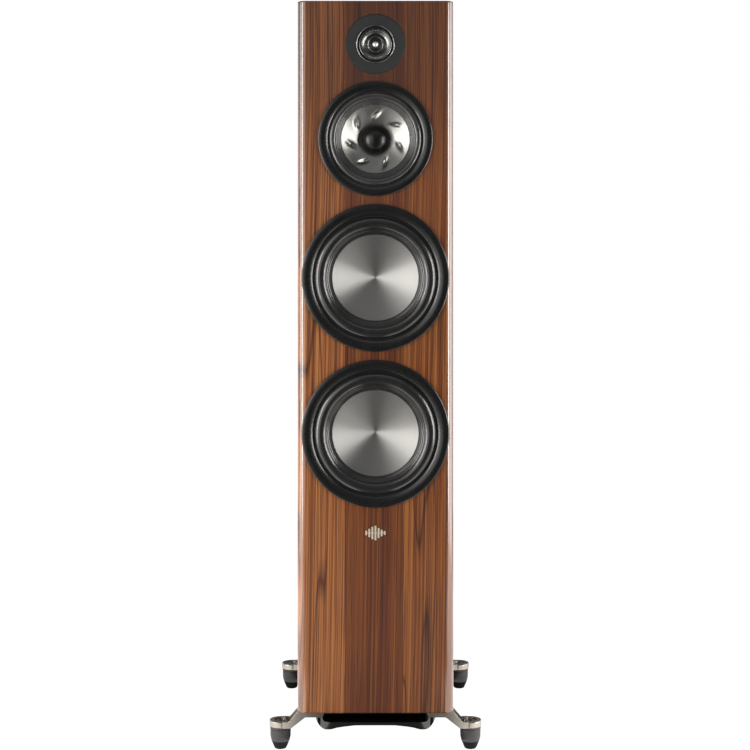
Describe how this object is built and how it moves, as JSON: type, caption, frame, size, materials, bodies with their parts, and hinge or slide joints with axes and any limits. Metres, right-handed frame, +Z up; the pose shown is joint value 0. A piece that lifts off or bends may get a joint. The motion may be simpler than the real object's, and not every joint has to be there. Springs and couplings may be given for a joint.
{
  "type": "floorstanding speaker",
  "caption": "Slim walnut tower loudspeaker with metal-coned woofers, a midrange, a ring-radiator tweeter, a downward port and outrigger feet.",
  "frame": {"origin": "on the floor, under the middle of the bounding box", "axes": "+Z up, -Y towards the listener (the drivers face -Y), +X to the right as seen from the front"},
  "size_m": [0.322, 0.4142, 1.128],
  "materials": {
    "walnut": "dark walnut veneer with an upright grain, satin",
    "board": "bare fibreboard",
    "trim_black": "black, lightly textured",
    "rubber": "black rubber",
    "cone_metal": "spun in fine rings, satin",
    "turbine_cone": "silver coated, pressed with spiral dimples",
    "cast_basket": "die-cast, painted black",
    "spider_cloth": "impregnated corrugated cloth",
    "copper": "wound copper wire",
    "ferrite": "bare ferrite ceramic",
    "steel": "zinc plated",
    "gloss_black": "gloss black moulding",
    "plate_black": "fine matt black paint",
    "soft_diaphragm": "coated soft fabric",
    "bright_plug": "polished",
    "gold": "gold plated",
    "red_plastic": "clear red band on a moulded cap",
    "circuit": "circuit board with coils and capacitors",
    "port_black": "moulded, matt",
    "plinth_black": "gloss black",
    "cast_arm": "cast and satin blasted",
    "badge_metal": "satin champagne metal"
  },
  "bodies": {
    "cabinet": {"front_baffle": "walnut", "rear_panel": "walnut", "side_panel_left": "walnut", "side_panel_right": "walnut", "top_panel": "walnut", "bottom_panel": "board", "shelf_brace": "board", "midrange_enclosure": "board", "upper_woofer_trim_ring": "trim_black", "upper_woofer_surround": "rubber", "upper_woofer_basket": "cast_basket", "upper_woofer_spider": "spider_cloth", "upper_woofer_magnet": "ferrite", "upper_woofer_yoke": "steel", "lower_woofer_trim_ring": "trim_black", "lower_woofer_surround": "rubber", "lower_woofer_basket": "cast_basket", "lower_woofer_spider": "spider_cloth", "lower_woofer_magnet": "ferrite", "lower_woofer_yoke": "steel", "midrange_trim_ring": "trim_black", "midrange_surround": "rubber", "midrange_basket": "cast_basket", "midrange_spider": "spider_cloth", "midrange_magnet": "ferrite", "midrange_yoke": "steel", "tweeter_faceplate": "plate_black", "tweeter_phase_plug": "bright_plug", "tweeter_motor": "steel", "terminal_cup": "gloss_black", "binding_post_positive": "gold", "binding_post_negative": "gold", "crossover_board": "circuit", "port_tube": "port_black", "port_plinth": "plinth_black", "outrigger_front_left": "cast_arm", "outrigger_front_right": "cast_arm", "outrigger_rear_left": "cast_arm", "outrigger_rear_right": "cast_arm", "front_badge": "badge_metal"},
    "upper_woofer_moving": {"upper_woofer_cone": "cone_metal", "upper_woofer_voice_coil": "copper"},
    "lower_woofer_moving": {"lower_woofer_cone": "cone_metal", "lower_woofer_voice_coil": "copper"},
    "midrange_moving": {"midrange_cone": "turbine_cone", "midrange_voice_coil": "copper", "midrange_dust_cap": "gloss_black"},
    "tweeter_moving": {"tweeter_diaphragm": "soft_diaphragm"},
    "foot_front_left": {"rubber_foot_front_left": "rubber"},
    "stud_front_left": {"levelling_stud_front_left": "steel"},
    "foot_front_right": {"rubber_foot_front_right": "rubber"},
    "stud_front_right": {"levelling_stud_front_right": "steel"},
    "foot_rear_left": {"rubber_foot_rear_left": "rubber"},
    "stud_rear_left": {"levelling_stud_rear_left": "steel"},
    "foot_rear_right": {"rubber_foot_rear_right": "rubber"},
    "stud_rear_right": {"levelling_stud_rear_right": "steel"},
    "collar_positive": {"clamp_collar_positive": "gold"},
    "cap_positive": {"binding_cap_positive": "red_plastic"},
    "collar_negative": {"clamp_collar_negative": "gold"},
    "cap_negative": {"binding_cap_negative": "gloss_black"}
  },
  "joints": [
    {"name": "upper_woofer_stroke", "type": "slide", "parent": "cabinet", "child": "upper_woofer_moving", "axis": [0, -1, 0], "range_m": [-0.006, 0.006], "stiffness_N_per_m": 1400, "deforming": ["upper_woofer_surround", "upper_woofer_spider"]},
    {"name": "lower_woofer_stroke", "type": "slide", "parent": "cabinet", "child": "lower_woofer_moving", "axis": [0, -1, 0], "range_m": [-0.006, 0.006], "stiffness_N_per_m": 1400, "deforming": ["lower_woofer_surround", "lower_woofer_spider"]},
    {"name": "midrange_stroke", "type": "slide", "parent": "cabinet", "child": "midrange_moving", "axis": [0, -1, 0], "range_m": [-0.003, 0.003], "stiffness_N_per_m": 1100, "deforming": ["midrange_surround", "midrange_spider"]},
    {"name": "tweeter_stroke", "type": "slide", "parent": "cabinet", "child": "tweeter_moving", "axis": [0, -1, 0], "range_m": [-0.0004, 0.0004], "stiffness_N_per_m": 600},
    {"name": "foot_height_front_left", "type": "slide", "parent": "cabinet", "child": "foot_front_left", "axis": [0, 0, -1], "range_m": [0, 0.012]},
    {"name": "stud_turn_front_left", "type": "hinge", "parent": "foot_front_left", "child": "stud_front_left", "pos_m": [-0.144, -0.1615, 0.03], "axis": [0, 0, 1], "range_deg": [0, 3457]},
    {"name": "foot_height_front_right", "type": "slide", "parent": "cabinet", "child": "foot_front_right", "axis": [0, 0, -1], "range_m": [0, 0.012]},
    {"name": "stud_turn_front_right", "type": "hinge", "parent": "foot_front_right", "child": "stud_front_right", "pos_m": [0.144, -0.1615, 0.03], "axis": [0, 0, 1], "range_deg": [0, 3457]},
    {"name": "foot_height_rear_left", "type": "slide", "parent": "cabinet", "child": "foot_rear_left", "axis": [0, 0, -1], "range_m": [0, 0.012]},
    {"name": "stud_turn_rear_left", "type": "hinge", "parent": "foot_rear_left", "child": "stud_rear_left", "pos_m": [-0.144, 0.1615, 0.03], "axis": [0, 0, 1], "range_deg": [0, 3457]},
    {"name": "foot_height_rear_right", "type": "slide", "parent": "cabinet", "child": "foot_rear_right", "axis": [0, 0, -1], "range_m": [0, 0.012]},
    {"name": "stud_turn_rear_right", "type": "hinge", "parent": "foot_rear_right", "child": "stud_rear_right", "pos_m": [0.144, 0.1615, 0.03], "axis": [0, 0, 1], "range_deg": [0, 3457]},
    {"name": "clamp_positive", "type": "slide", "parent": "cabinet", "child": "collar_positive", "axis": [0, 1, 0], "range_m": [0, 0.007]},
    {"name": "cap_turn_positive", "type": "hinge", "parent": "collar_positive", "child": "cap_positive", "pos_m": [0.019, 0.2, 0.138], "axis": [0, -1, 0], "range_deg": [0, 2017]},
    {"name": "clamp_negative", "type": "slide", "parent": "cabinet", "child": "collar_negative", "axis": [0, 1, 0], "range_m": [0, 0.007]},
    {"name": "cap_turn_negative", "type": "hinge", "parent": "collar_negative", "child": "cap_negative", "pos_m": [-0.019, 0.2, 0.138], "axis": [0, -1, 0], "range_deg": [0, 2017]}
  ],
  "couplings": [
    {"joint": "stud_turn_front_left", "follows": "foot_height_front_left", "rad_per_m": 5026.5},
    {"joint": "stud_turn_front_right", "follows": "foot_height_front_right", "rad_per_m": 5026.5},
    {"joint": "stud_turn_rear_left", "follows": "foot_height_rear_left", "rad_per_m": 5026.5},
    {"joint": "stud_turn_rear_right", "follows": "foot_height_rear_right", "rad_per_m": 5026.5},
    {"joint": "cap_turn_positive", "follows": "clamp_positive", "rad_per_m": 5026.5},
    {"joint": "cap_turn_negative", "follows": "clamp_negative", "rad_per_m": 5026.5}
  ]
}
